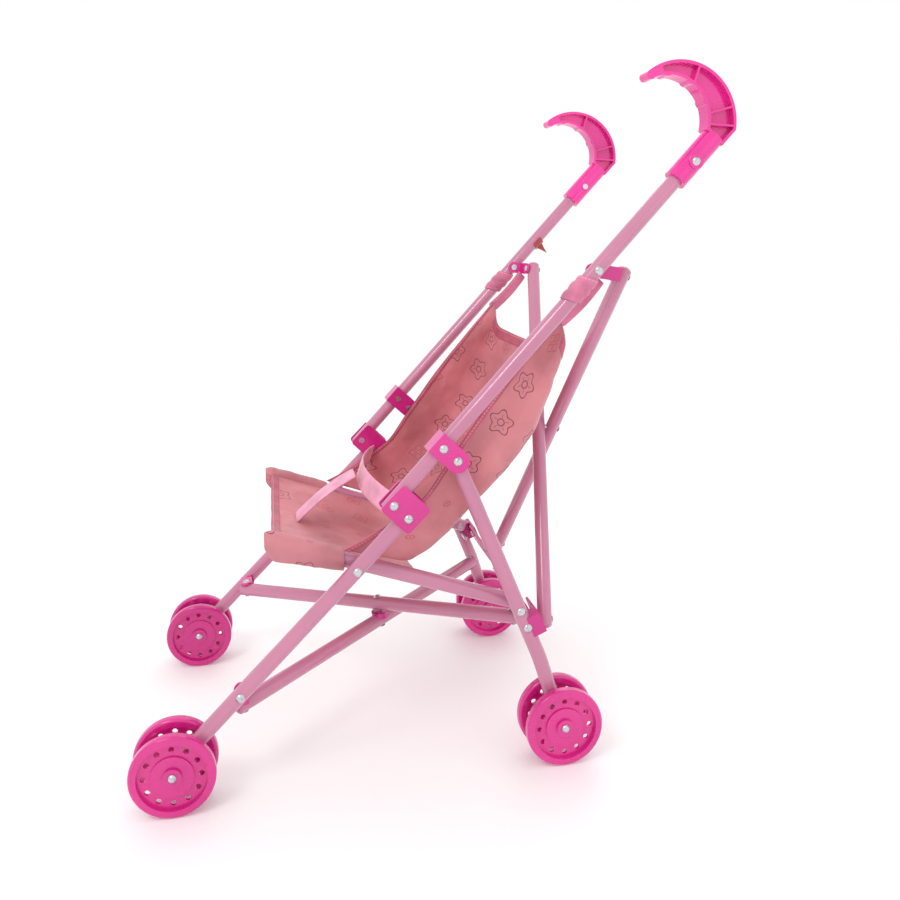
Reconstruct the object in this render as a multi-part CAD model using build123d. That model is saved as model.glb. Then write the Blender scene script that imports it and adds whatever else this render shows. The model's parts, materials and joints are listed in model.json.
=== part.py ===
from build123d import *
from math import cos, radians, sin
import os

# Doll stroller with an umbrella fold, in millimetres. +Z is up, the front faces -Y and the
# stroller's own left side is +X. Side-plane points are vectors with X = 0, measured from the
# point on the floor under the front axle; the whole model is centred on its box at the end.

# ---- frame sizes ----
TRACK = 218.0               # between the left and the right plane of tubes
TUBE_D = 12.0
TUBE_WALL = 0.9
WHEELBASE = 302.0
FRONT_LEG_ANGLE = 45.0      # above the horizontal
PUSH_ANGLE = 47.0
REAR_LEG_ANGLE = 67.9
KNEE_ON_LEG = 252.6         # front axle to the knee, along the front leg
SEAT_PIVOT_ON_LEG = 197.3
BRACE_ON_LEG = 70.7         # front axle to the front bracket of the bottom cross
KNEE_PITCH = 15.4           # front leg axis to push tube axis
PIVOT_ON_PUSH = 56.6        # knee to the pivot bracket, along the push tube
PIVOT_PITCH = 15.0          # push tube axis to the rear leg's pivot
TOP_BRACKET_ON_PUSH = 238.0
HANDLE_RIVET_ON_PUSH = 351.4
SEAT_PIVOT_ON_REAR = 134.8  # pivot bracket to the seat tube's rear pivot, along the rear leg
MOUNT_RIVET_ON_REAR = 149.7
SEAT_TUBE_FRONT = 68.0      # seat tube in front of its pivot on the front leg
LEG_END = 6.4               # tube left beyond a pivot or an axle
PUSH_STUB = 6.3             # the push tube's short end below the knee pivot
SEAT_TUBE_REAR_END = 5.0

# ---- wheels ----
WHEEL_D = 63.0
WHEEL_WIDTH = 8.0
RIM_DEPTH = 6.0
WEB = 2.0
HUB_D = 14.0
CENTRE_DISC_D = 31.0
CENTRE_DISC_RISE = 1.2
WHEEL_HOLES = 12
WHEEL_HOLE_D = 4.2
WHEEL_HOLE_CIRCLE = 41.6
AXLE_D = 4.0
AXLE_CLEARANCE = 0.1

# ---- brackets, rivets and clearances ----
PLATE = 2.0                 # wall of the plastic brackets
PLATE_GAP = 0.25            # bracket wall to tube
PIVOT_WIDTH = 18.0
KNEE_BELOW = 9.0            # knee box below and above its two rivets
KNEE_ABOVE = 16.5
RIVET_D = 4.0
RIVET_HEAD_D = 7.0
RIVET_HEAD = 2.0
RIVET_TAIL = 1.0
RIVET_CLEARANCE = 0.06
SHOULDER_D = 8.0
HINGE_GAP = 0.3             # between faces of pieces that move against each other
TAIL_POCKET = 1.8           # depth cut out of an ear round its bracket's rivet tail
WASHER_GAP = 4.0            # leg tube to seat tube
CROSS_INSET = 19.5          # leg plane to the pin of a cross tube
CROSS_REAR_INSET = 31.8     # the same at the bottom cross's rear end
CROSS_END = 8.0             # tube beyond its pin, with a domed end
CROSS_CAP = 3.0
BACK_CROSS_GAP = 1.4        # between the two tubes of the back cross
BOTTOM_CROSS_GAP = 3.4
BRACKET_WIDTH = 11.0
FRONT_PIN_DOWN = 11.0       # the bottom cross's front pin under the front bracket's rivet
TOP_PIN_UP = 13.4           # the back cross's top pin from its rivet: along the push tube
TOP_PIN_BEHIND = 20.1       # and behind it
BACK_CROSS_FOOT_ALONG = 167.4
BACK_CROSS_FOOT_BEHIND = 24.5
BOTTOM_CROSS_REAR_ALONG = 163.6
BOTTOM_CROSS_REAR_FRONT = 5.6   # its rear end in front of the rear leg's axis

# ---- rear brace ----
BRACE_ALONG = 150.0         # down the rear leg
BRACE_HEIGHT = 16.0
BRACE_PLATE = 2.0
BRACE_INSET = 16.0          # leg plane to the brace's end pin
BRACE_LAP = 9.0
MOUNT_LENGTH = 17.0
BEND_BELOW_RIVET = 30.0     # the rear leg's slight bend, below its lower rivet
BEND_RADIUS = 90.0

# ---- handle ----
SLEEVE_D = 18.0
SLEEVE_BELOW = 19.0         # sleeve below and above the handle rivet
SLEEVE_ABOVE = 27.0
GRIP_WIDTH = 13.0
GRIP_WEB = 3.0
GRIP_RIM = 2.4
GRIP_OUTER_R = 46.6
GRIP_INNER_R = 33.0
GRIP_OUTER_UP, GRIP_OUTER_FRONT = 14.0, 29.1    # arc centres from the rivet, along and in front
GRIP_INNER_UP, GRIP_INNER_FRONT = 8.3, 38.1
GRIP_TIP = 126.0            # degrees round the outer centre
GRIP_TIP_R = 3.6
GRIP_RIBS = (-3.0, 16.0, 71.0)
FINGER_WAVES = (24.0, 58.0, 92.0)

# ---- fabric ----
CLOTH = 1.6
SLING_INSET = 11.5          # leg plane to the sling's side panels
SEAT_GAP = 1.5              # seat cloth to seat tubes
SEAT_SAG = 9.0
BELT_WIDTH = 20.0
BELT_ALONG = -11.6          # the lap belt's ends from the knee: along the push tube
BELT_BEHIND = 20.5          # and behind it, to the belt's lower edge
BELT_BOW = 22.0             # how far its middle lies in front of its ends
CLOTH_GAP = 0.3             # between pieces of cloth that touch in use
STRAP_LENGTH = 30.0
STRAP_BELOW_TOP = 24.0      # corner strap's upper edge below the top bracket
STRAP_TAB = 10.0
STRAP_TAB_BEHIND = 15.0
SEAT_BACK = 51.0            # seat cloth behind the seat pivot
SEAT_TOP = 3.0              # its edges above the seat tubes' axis
CROTCH_WIDTH = 26.0
CROTCH_FORWARD = 42.0       # where the crotch strap meets the seat, in front of the seat pivot
CROTCH_UP = 5.0             # its upper edge above the belt's lower edge
# The sling's rear outline and its free upper edge: along the push tube from the knee, and behind it.
SLING_BACK = ((200.0, 10.0), (180.0, 23.5), (148.0, 43.0), (118.0, 57.0), (82.0, 60.5), (47.0, 61.0), (12.0, 61.0),
              (-13.0, 57.0), (-24.0, 51.0))
SLING_EDGE = ((-46.0, 14.0), (18.0, 21.0), (45.0, 15.0), (110.0, 11.5))

# ---- clip on the right push tube ----
CLIP_ON_PUSH = 275.0
CLIP_LENGTH = 10.0
CLIP_TAB = 12.0
CLIP_TAB_WIDTH = 8.0
CLIP_TAB_THICKNESS = 2.4
CLIP_WALL = 1.4

HALF = TRACK / 2
TUBE_R = TUBE_D / 2
WHEEL_R = WHEEL_D / 2
X = Vector(1, 0, 0)


def direction(angle):
    return Vector(0, cos(radians(angle)), sin(radians(angle)))


def behind(along):
    """The side-plane direction square to a tube, on its lower or rear side."""
    return Vector(0, along.Z, -along.Y)


# ---- the side plane's points ----
leg_dir = direction(FRONT_LEG_ANGLE)
push_dir = direction(PUSH_ANGLE)
rear_dir = direction(-REAR_LEG_ANGLE)
rear_behind = behind(rear_dir) * -1
FRONT_AXLE = Vector(0, 0, WHEEL_R)
REAR_AXLE = Vector(0, WHEELBASE, WHEEL_R)
LEG_KNEE = FRONT_AXLE + leg_dir * KNEE_ON_LEG
KNEE = LEG_KNEE - behind(leg_dir) * KNEE_PITCH
SEAT_PIVOT = FRONT_AXLE + leg_dir * SEAT_PIVOT_ON_LEG
FRONT_BRACKET = FRONT_AXLE + leg_dir * BRACE_ON_LEG
FRONT_PIN = FRONT_BRACKET - Vector(0, 0, FRONT_PIN_DOWN)
BRACKET_RIVET = KNEE + push_dir * PIVOT_ON_PUSH
REAR_PIVOT = BRACKET_RIVET + behind(push_dir) * PIVOT_PITCH
SEAT_REAR = REAR_PIVOT + rear_dir * SEAT_PIVOT_ON_REAR
MOUNT_RIVET = REAR_PIVOT + rear_dir * MOUNT_RIVET_ON_REAR
TOP_BRACKET = KNEE + push_dir * TOP_BRACKET_ON_PUSH
TOP_PIN = TOP_BRACKET + push_dir * TOP_PIN_UP + behind(push_dir) * TOP_PIN_BEHIND
HANDLE_RIVET = KNEE + push_dir * HANDLE_RIVET_ON_PUSH
BACK_FOOT = REAR_PIVOT + rear_dir * BACK_CROSS_FOOT_ALONG + rear_behind * BACK_CROSS_FOOT_BEHIND
BOTTOM_REAR = REAR_PIVOT + rear_dir * BOTTOM_CROSS_REAR_ALONG - rear_behind * BOTTOM_CROSS_REAR_FRONT
BRACE_MIDDLE = REAR_PIVOT + rear_dir * BRACE_ALONG
LEG_BEND = MOUNT_RIVET + rear_dir * BEND_BELOW_RIVET
seat_dir = (SEAT_PIVOT - SEAT_REAR).normalized()
seat_up = behind(seat_dir)
SEAT_FRONT = SEAT_PIVOT + seat_dir * SEAT_TUBE_FRONT
GRIP_OUTER = HANDLE_RIVET + push_dir * GRIP_OUTER_UP - behind(push_dir) * GRIP_OUTER_FRONT
GRIP_INNER = HANDLE_RIVET + push_dir * GRIP_INNER_UP - behind(push_dir) * GRIP_INNER_FRONT

# The model's own frame has its origin in the middle of the box's floor.
Y_MIDDLE = (GRIP_OUTER.Y + GRIP_OUTER_R - WHEEL_R) / 2

# ---- the lateral stack, as distances from the plane of the leg tubes ----
PLATE_INNER = TUBE_R + PLATE_GAP
PLATE_OUTER = PLATE_INNER + PLATE
SEAT_INSET = 2 * TUBE_R + WASHER_GAP
SEAT_HALF = HALF - SEAT_INSET - TUBE_R - SEAT_GAP
WHEEL_INNER = TUBE_R + HINGE_GAP + 1.0
WHEEL_OUTER = WHEEL_INNER + WHEEL_WIDTH
SADDLE_R = TUBE_R + PLATE_GAP
MOUNT_BACK = SADDLE_R + 2 * (BRACE_PLATE + HINGE_GAP) + HINGE_GAP + PLATE

nodes = {}


# ---- shapes used again and again ----
def rod(start, end, radius):
    plane = Plane(origin=start, z_dir=end - start)
    return plane * Cylinder(radius, (end - start).length, align=(Align.CENTER, Align.CENTER, Align.MIN))


def hole(point, axis, radius=RIVET_D / 2 + RIVET_CLEARANCE, reach=4 * TUBE_D):
    return rod(point - axis * reach, point + axis * reach, radius)


def tube(start, end):
    return rod(start, end, TUBE_R) - rod(start, end, TUBE_R - TUBE_WALL)


def dome(point, axis, diameter, height):
    """A domed head that sits on point and rises along axis."""
    ball = (diameter**2 / 4 + height**2) / (2 * height)
    cap = Pos(0, 0, height - ball) * Sphere(ball)
    keep = Cylinder(diameter / 2, height, align=(Align.CENTER, Align.CENTER, Align.MIN))
    return Plane(origin=point, z_dir=axis) * (cap & keep)


def rivet(point, axis, outer, inner, shoulder=None, tail=True):
    """Domed head at outer along axis, tail at inner, with an optional thicker shoulder between."""
    body = rod(point + axis * inner, point + axis * outer, RIVET_D / 2)
    body += dome(point + axis * outer, axis, RIVET_HEAD_D, RIVET_HEAD)
    if tail:
        body += rod(point + axis * (inner - RIVET_TAIL), point + axis * inner, RIVET_HEAD_D / 2 - 0.6)
    if shoulder:
        body += rod(point + axis * shoulder[0], point + axis * shoulder[1], SHOULDER_D / 2)
    return body


def slab(points, low, high, radius=0.0):
    """A side-plane outline, through side-plane points, as a plate between two X values."""
    outline = Polygon(*[(p.Y, p.Z) for p in points], align=None)
    if radius:
        outline = fillet(outline.vertices(), radius)
    return extrude(Plane.YZ.offset(low) * outline, amount=high - low, dir=(1, 0, 0))


def disc(centre, radius, low, high):
    return rod(centre + X * low, centre + X * high, radius)


def corners(origin, along, low, high, across, near, far):
    """Four side-plane points of a rectangle in directions along and across."""
    return [origin + along * a + across * b for a, b in ((low, near), (high, near), (high, far), (low, far))]


def pair(name, make, *args):
    """The same piece on the left (side 1) and the right (side -1)."""
    for suffix, side in (("left", 1), ("right", -1)):
        nodes[f"{name}_{suffix}"] = make(side, *args)


# ---- push tubes and handles ----
def push_tube(side):
    plane_x = X * side * HALF
    body = tube(KNEE - push_dir * PUSH_STUB + plane_x, HANDLE_RIVET + push_dir * SLEEVE_ABOVE / 2 + plane_x)
    for point in (KNEE, BRACKET_RIVET, TOP_BRACKET, HANDLE_RIVET):
        body -= hole(point + plane_x, X)
    return body


def grip_face(rim, tip):
    """The crescent between the two arcs, from the sleeve's top to a direction from the outer centre."""
    ring = Pos(GRIP_OUTER.Y, GRIP_OUTER.Z) * Circle(GRIP_OUTER_R - rim)
    ring -= Pos(GRIP_INNER.Y, GRIP_INNER.Z) * Circle(GRIP_INNER_R + rim)
    far = 2 * GRIP_OUTER_R
    start = -90.0
    fan = [(GRIP_OUTER.Y, GRIP_OUTER.Z)]
    steps = 6
    for i in range(steps + 1):
        ray = direction(start + (tip - start) * i / steps) * far
        fan.append((GRIP_OUTER.Y + ray.Y, GRIP_OUTER.Z + ray.Z))
    across = behind(push_dir)
    flush = SLEEVE_D / 2 - 0.5 - rim
    below = corners(HANDLE_RIVET, push_dir, -far, SLEEVE_ABOVE - 2 + rim, across, -GRIP_OUTER_R, far)
    outside = corners(HANDLE_RIVET, push_dir, -far, far, across, flush, far)
    face = ring & Polygon(*fan, align=None)
    for cut in (below, outside):
        face -= Polygon(*[(p.Y, p.Z) for p in cut], align=None)
    return face


def inner_edge(angle):
    """Where a direction from the inner centre meets the grip's inner edge."""
    return GRIP_INNER + direction(angle) * GRIP_INNER_R


def handle(side):
    middle = side * HALF
    low, high = middle - GRIP_WIDTH / 2, middle + GRIP_WIDTH / 2
    grip = extrude(Plane.YZ.offset(low) * grip_face(0, GRIP_TIP), amount=GRIP_WIDTH, dir=(1, 0, 0))
    tip_ray = direction(GRIP_TIP)
    tip_middle = GRIP_OUTER + tip_ray * (GRIP_OUTER_R - GRIP_TIP_R)
    grip += disc(tip_middle, GRIP_TIP_R, low, high)
    for angle in FINGER_WAVES:
        grip += disc(inner_edge(angle) + direction(angle) * 4.0, 5.0, low, high)
    pocket = grip_face(GRIP_RIM, GRIP_TIP - 14)
    for angle in GRIP_RIBS:
        rib = Rot(0, 0, angle) * Rectangle(3 * GRIP_OUTER_R, 1.6)
        pocket -= Pos(GRIP_OUTER.Y, GRIP_OUTER.Z) * rib
    depth = (GRIP_WIDTH - GRIP_WEB) / 2
    for start in (low, high - depth):
        grip -= extrude(Plane.YZ.offset(start) * pocket, amount=depth, dir=(1, 0, 0))
    plane_x = X * middle
    foot = HANDLE_RIVET - push_dir * SLEEVE_BELOW + plane_x
    top = HANDLE_RIVET + push_dir * SLEEVE_ABOVE + plane_x
    body = grip + rod(foot, top, SLEEVE_D / 2)
    body += disc(HANDLE_RIVET, RIVET_HEAD_D / 2 + 2.5, middle, middle + side * (SLEEVE_D / 2 + 0.8))
    bore_top = HANDLE_RIVET + push_dir * (SLEEVE_ABOVE / 2 + HINGE_GAP) + plane_x
    body -= rod(foot - push_dir, bore_top, TUBE_R + PLATE_GAP / 2)
    return body - hole(HANDLE_RIVET + plane_x, X)


# ---- pivot bracket: joins push tube and rear leg, two plates and a web in front of the tube ----
def pivot_bracket(side):
    across = behind(push_dir)
    front = -(TUBE_R + PLATE_GAP + PLATE)
    half = PIVOT_WIDTH / 2
    body = None
    for low, high in ((PLATE_INNER, PLATE_OUTER), (-PLATE_OUTER, -PLATE_INNER)):
        x_low, x_high = sorted((side * (HALF + low), side * (HALF + high)))
        plate = slab(corners(BRACKET_RIVET, push_dir, -half, half, across, front, PIVOT_PITCH), x_low, x_high)
        plate += disc(REAR_PIVOT, half, x_low, x_high)
        body = plate if body is None else body + plate
    x_low, x_high = sorted((side * (HALF - PLATE_OUTER), side * (HALF + PLATE_OUTER)))
    body += slab(corners(BRACKET_RIVET, push_dir, -half, half, across, front, front + PLATE), x_low, x_high)
    for point in (BRACKET_RIVET, REAR_PIVOT):
        body -= hole(point + X * side * HALF, X)
    return body


def push_rivets(side):
    axis = X * side
    outer, inner = PLATE_OUTER, -PLATE_OUTER
    handle_face = SLEEVE_D / 2 + 0.8
    group = [
        rivet(HANDLE_RIVET + axis * HALF, axis, handle_face, -SLEEVE_D / 2),
        rivet(BRACKET_RIVET + axis * HALF, axis, outer, inner),
        rivet(REAR_PIVOT + axis * HALF, axis, outer, inner),
        rivet(TOP_BRACKET + axis * HALF, axis, TUBE_R, -PLATE_OUTER - HINGE_GAP),
    ]
    return Compound(children=group)


# ---- knee bracket: a square box on the front leg's top, in which the push tube turns ----
def knee_bracket(side):
    across = behind(leg_dir)
    back = TUBE_R + PLATE_GAP + PLATE
    front = -(KNEE_PITCH + TUBE_R + PLATE_GAP)
    body = None
    for low, high in ((PLATE_INNER, PLATE_OUTER), (-PLATE_OUTER, -PLATE_INNER)):
        x_low, x_high = sorted((side * (HALF + low), side * (HALF + high)))
        points = corners(LEG_KNEE, leg_dir, -KNEE_BELOW, KNEE_ABOVE, across, front, back)
        plate = slab(points, x_low, x_high, radius=3.0)
        body = plate if body is None else body + plate
    x_low, x_high = sorted((side * (HALF - PLATE_OUTER), side * (HALF + PLATE_OUTER)))
    web = corners(LEG_KNEE, leg_dir, 3 - KNEE_BELOW, KNEE_ABOVE - 3, across, back - PLATE, back)
    body += slab(web, x_low, x_high)
    for point in (LEG_KNEE, KNEE):
        body -= hole(point + X * side * HALF, X)
    return body


# ---- front and rear legs ----
def front_leg(side):
    plane_x = X * side * HALF
    body = tube(FRONT_AXLE - leg_dir * LEG_END + plane_x, LEG_KNEE + leg_dir * LEG_END + plane_x)
    for point in (FRONT_BRACKET, SEAT_PIVOT, LEG_KNEE):
        body -= hole(point + plane_x, X)
    return body - hole(FRONT_AXLE + plane_x, X, AXLE_D / 2 + RIVET_CLEARANCE)


def rear_leg(side):
    plane_x = X * side * HALF
    lower_dir = (REAR_AXLE - LEG_BEND).normalized()
    path = FilletPolyline(
        REAR_PIVOT - rear_dir * LEG_END + plane_x,
        LEG_BEND + plane_x,
        REAR_AXLE + lower_dir * LEG_END + plane_x,
        radius=BEND_RADIUS,
    )
    start = Plane(origin=REAR_PIVOT - rear_dir * LEG_END + plane_x, z_dir=rear_dir)
    body = sweep(start * (Circle(TUBE_R) - Circle(TUBE_R - TUBE_WALL)), path=path)
    for point in (REAR_PIVOT, SEAT_REAR, MOUNT_RIVET):
        body -= hole(point + plane_x, X)
    return body - hole(REAR_AXLE + plane_x, X, AXLE_D / 2 + RIVET_CLEARANCE)


def front_rivets(side):
    axis = X * side
    seat_inner = -(SEAT_INSET + TUBE_R)
    shoulder = (-TUBE_R - WASHER_GAP + HINGE_GAP / 2, -TUBE_R)
    group = [
        rivet(LEG_KNEE + axis * HALF, axis, PLATE_OUTER, -PLATE_OUTER),
        rivet(KNEE + axis * HALF, axis, PLATE_OUTER, -PLATE_OUTER),
        rivet(SEAT_PIVOT + axis * HALF, axis, TUBE_R, seat_inner - HINGE_GAP, shoulder),
        rivet(FRONT_BRACKET + axis * HALF, axis, TUBE_R, -PLATE_OUTER - HINGE_GAP),
    ]
    return Compound(children=group)


def rear_rivets(side):
    """The upper one stops short of the seat tube; the lower one carries a long sleeve inwards."""
    axis = X * side
    half_gap = -TUBE_R - WASHER_GAP / 2 + HINGE_GAP / 2
    sleeve_end = -(SEAT_INSET + TUBE_R + HINGE_GAP)
    group = [
        rivet(SEAT_REAR + axis * HALF, axis, TUBE_R, half_gap, (half_gap, -TUBE_R), tail=False),
        rivet(MOUNT_RIVET + axis * HALF, axis, TUBE_R, sleeve_end, tail=False),
        brace_end_rivet(side),
    ]
    return Compound(children=group)


def axle(side, centre):
    ends = WHEEL_OUTER + HINGE_GAP
    middle = centre + X * side * HALF
    body = rod(middle - X * ends, middle + X * ends, AXLE_D / 2)
    for way in (X, X * -1):
        body += dome(middle + way * ends, way, RIVET_HEAD_D - 0.5, RIVET_HEAD)
    return body


# ---- rear mount: a saddle behind the rear leg that carries the brace's end pin ----
def rear_mount(side):
    low = BRACE_ALONG - BRACE_HEIGHT / 2
    x_low, x_high = sorted((side * (HALF - TUBE_R), side * (HALF + TUBE_R)))
    saddle = corners(REAR_PIVOT, rear_dir, low, low + MOUNT_LENGTH, rear_behind, 2.0, MOUNT_BACK)
    body = slab(saddle, x_low, x_high)
    body -= rod(REAR_PIVOT + X * side * HALF, LEG_BEND + rear_dir * MOUNT_LENGTH + X * side * HALF, SADDLE_R)
    tab_low, tab_high = sorted((side * (HALF - BRACE_INSET - BRACE_HEIGHT / 2), side * HALF))
    tab = corners(REAR_PIVOT, rear_dir, low, low + BRACE_HEIGHT, rear_behind, MOUNT_BACK - PLATE, MOUNT_BACK)
    body += slab(tab, tab_low, tab_high)
    return body - hole(BRACE_MIDDLE + X * side * (HALF - BRACE_INSET), rear_behind)


def brace_level(side):
    """How far behind the rear leg's axis an arm's front face lies; the right arm is the rear one."""
    first = TUBE_R + PLATE_GAP + HINGE_GAP
    return first if side > 0 else first + BRACE_PLATE + HINGE_GAP


def brace_arm(side):
    """One half of the rear brace; the two lie in neighbouring planes and lap at the middle."""
    reach = side * (HALF - BRACE_INSET)
    outline = Pos(reach / 2, 0) * Rectangle(abs(reach), BRACE_HEIGHT)
    outline += Pos(reach, 0) * Circle(BRACE_HEIGHT / 2)
    outline += Circle(BRACE_LAP)
    outline -= Pos(reach, 0) * Circle(RIVET_D / 2 + RIVET_CLEARANCE)
    front = Plane(origin=BRACE_MIDDLE + rear_behind * brace_level(side), x_dir=X, z_dir=rear_behind)
    body = extrude(front * outline, amount=BRACE_PLATE, dir=tuple(rear_behind))
    return body - hole(BRACE_MIDDLE, rear_behind) if side > 0 else body


def brace_end_rivet(side):
    """Rivet along the mount's tab, headed in front of the arm that it carries."""
    foot = BRACE_MIDDLE + X * side * (HALF - BRACE_INSET)
    level = brace_level(side)
    body = rod(foot + rear_behind * (level - HINGE_GAP), foot + rear_behind * MOUNT_BACK, RIVET_D / 2)
    return body + dome(foot + rear_behind * (level - HINGE_GAP), rear_behind * -1, RIVET_HEAD_D, 1.4)


def brace_middle_rivet():
    level = brace_level(1)
    start = BRACE_MIDDLE + rear_behind * level
    body = rod(start, start + rear_behind * BRACE_PLATE, RIVET_D / 2)
    return body + dome(start, rear_behind * -1, RIVET_HEAD_D, RIVET_HEAD)


# ---- wheels ----
def wheel(side, place, centre):
    """place is 1 for the wheel outside the leg and -1 for the one inside; the dish faces away from the leg."""
    out = Vector(side * place, 0, 0)
    inner = centre + X * side * HALF + out * WHEEL_INNER
    plane = Plane(origin=inner, z_dir=out)
    align = (Align.CENTER, Align.CENTER, Align.MIN)
    rim_inner = WHEEL_R - RIM_DEPTH
    rim = Cylinder(WHEEL_R, WHEEL_WIDTH, align=align)
    rim = fillet(rim.edges().filter_by(GeomType.CIRCLE), WHEEL_WIDTH * 0.3)
    rim -= Cylinder(rim_inner, WHEEL_WIDTH, align=align)
    web_low = (WHEEL_WIDTH - WEB) / 2
    body = rim + Pos(0, 0, web_low) * Cylinder(rim_inner + 1, WEB, align=align)
    body += Pos(0, 0, web_low) * Cylinder(CENTRE_DISC_D / 2, WEB + CENTRE_DISC_RISE, align=align)
    body += Cylinder(HUB_D / 2, WHEEL_WIDTH, align=align)
    for location in PolarLocations(WHEEL_HOLE_CIRCLE / 2, WHEEL_HOLES):
        body -= location * Cylinder(WHEEL_HOLE_D / 2, 4 * WHEEL_WIDTH)
    body -= Cylinder(AXLE_D / 2 + AXLE_CLEARANCE, 4 * WHEEL_WIDTH)
    return plane * body


# ---- seat tubes ----
def seat_tube(side):
    plane_x = X * side * (HALF - SEAT_INSET)
    body = tube(SEAT_REAR - seat_dir * SEAT_TUBE_REAR_END + plane_x, SEAT_FRONT + plane_x)
    for point in (SEAT_PIVOT, SEAT_REAR):
        body -= hole(point + plane_x, X)
    return body


def seat_rivet(side):
    """The seat tube's half of its rear pivot, which faces the rear leg's half across a gap."""
    axis = X * side
    half_gap = -TUBE_R - WASHER_GAP / 2 - HINGE_GAP / 2
    seat_outer = -TUBE_R - WASHER_GAP
    start = SEAT_REAR + axis * HALF
    body = rod(start + axis * (seat_outer - 2 * TUBE_R - RIVET_TAIL), start + axis * half_gap, RIVET_D / 2)
    body += rod(start + axis * seat_outer, start + axis * half_gap, SHOULDER_D / 2)
    tail = start + axis * (seat_outer - 2 * TUBE_R)
    return body + rod(tail - axis * RIVET_TAIL, tail, RIVET_HEAD_D / 2)


# ---- the two crosses: a swivelling bracket at the front or top, and a tube that turns in it ----
def cross_frame(pin, foot, gap, order):
    """Direction of the cross's plane, its normal, and the left tube's offset along that normal."""
    along = (foot - pin).normalized()
    return along, behind(along), order * (TUBE_R + gap / 2)


def ear_side(rivet_point, pin, foot):
    """The cross plane's normal, turned to the side where the bracket's rivet is."""
    normal = behind((foot - pin).normalized())
    return normal if (rivet_point - pin).dot(normal) > 0 else normal * -1


def cross_bracket(side, rivet_point, pin, foot, gap, order):
    """A strip beside the leg or push tube, with one ear that reaches inwards over the cross tube."""
    along, normal, offset = cross_frame(pin, foot, gap, order)
    centre = pin + normal * side * offset
    toward = ear_side(rivet_point, pin, foot)
    half = BRACKET_WIDTH / 2
    near, far = TUBE_R + PLATE_GAP, TUBE_R + PLATE_GAP + PLATE
    base_low, base_high = sorted((side * (HALF - PLATE_OUTER), side * (HALF - PLATE_INNER)))
    fold = centre + toward * (near + far) / 2
    link = (fold - rivet_point).normalized()
    strip = corners(rivet_point, link, 0, (fold - rivet_point).length, behind(link), -half, half)
    body = disc(rivet_point, half, base_low, base_high) + slab(strip, base_low, base_high)
    low, high = sorted((side * (HALF - CROSS_INSET), side * (HALF - PLATE_INNER)))
    body += slab(corners(centre, along, -half, half, toward, near, far), low, high)
    eye = centre + X * side * (HALF - CROSS_INSET)
    body += rod(eye + toward * near, eye + toward * far, half)
    body -= hole(rivet_point + X * side * HALF, X)
    pocket_low, pocket_high = sorted((side * (HALF - PLATE_OUTER - TAIL_POCKET), side * (HALF - PLATE_OUTER)))
    body -= disc(rivet_point, RIVET_HEAD_D / 2, pocket_low, pocket_high)
    return body - hole(eye, toward)


def cross_ends(side, pin, foot, gap, order, rear_inset):
    """Centre of the tube at its pin, at the stroller's middle plane and at its rear end."""
    along, normal, offset = cross_frame(pin, foot, gap, order)
    shift = normal * side * offset
    start = pin + shift + X * side * (HALF - CROSS_INSET)
    end = foot + shift - X * side * (HALF - rear_inset)
    share = (HALF - CROSS_INSET) / (2 * HALF - CROSS_INSET - rear_inset)
    return start, start + (end - start) * share, end, normal * side * order


def cross_tube(side, *cross):
    start, middle, end, outward = cross_ends(side, *cross)
    way = (end - start).normalized()
    reach = CROSS_END - CROSS_CAP
    body = tube(start - way * reach, end + way * reach)
    for point, out in ((start - way * reach, way * -1), (end + way * reach, way)):
        body += rod(point - out, point, TUBE_R) + dome(point, out, TUBE_D, CROSS_CAP)
    for point in (start, middle, end):
        body -= hole(point, outward)
    return body


def cross_rivets(side, rivet_point, *cross):
    """The pin under the bracket's ear, this tube's half of the middle rivet, and the rear end's rivet."""
    start, middle, end, outward = cross_ends(side, *cross)
    toward = ear_side(rivet_point, cross[0], cross[1])
    reach = TUBE_R + PLATE_GAP + PLATE
    clevis = rod(start - toward * TUBE_R, start + toward * reach, RIVET_D / 2)
    clevis += dome(start + toward * reach, toward, RIVET_HEAD_D, 1.6)
    clevis += dome(start - toward * TUBE_R, toward * -1, RIVET_HEAD_D - 1, 1.2)
    half_gap = cross[2] / 2 - HINGE_GAP / 2
    half = rod(middle - outward * (TUBE_R + half_gap), middle + outward * TUBE_R, RIVET_D / 2)
    half += dome(middle + outward * TUBE_R, outward, RIVET_HEAD_D, 1.6)
    rear = rod(end - outward * TUBE_R, end + outward * TUBE_R, RIVET_D / 2)
    for way in (outward, outward * -1):
        rear += dome(end + way * TUBE_R, way, RIVET_HEAD_D - 1, 1.2)
    return Compound(children=[clevis, half, rear])


def cross_spacer(side, *cross):
    """Washer round the middle rivet, between the two tubes."""
    start, middle, end, outward = cross_ends(side, *cross)
    inner = TUBE_R + cross[2] / 2 - HINGE_GAP / 2
    body = rod(middle - outward * inner, middle - outward * 2, TUBE_R + 1.5)
    body -= rod(start, end, TUBE_R + 0.05)
    return body - hole(middle, outward)


# ---- fabric, as plain closed solids ----
def push_point(along, back):
    return KNEE + push_dir * along + behind(push_dir) * back


def side_curve(points):
    return Spline(*[(p.Y, p.Z) for p in points])


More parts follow.
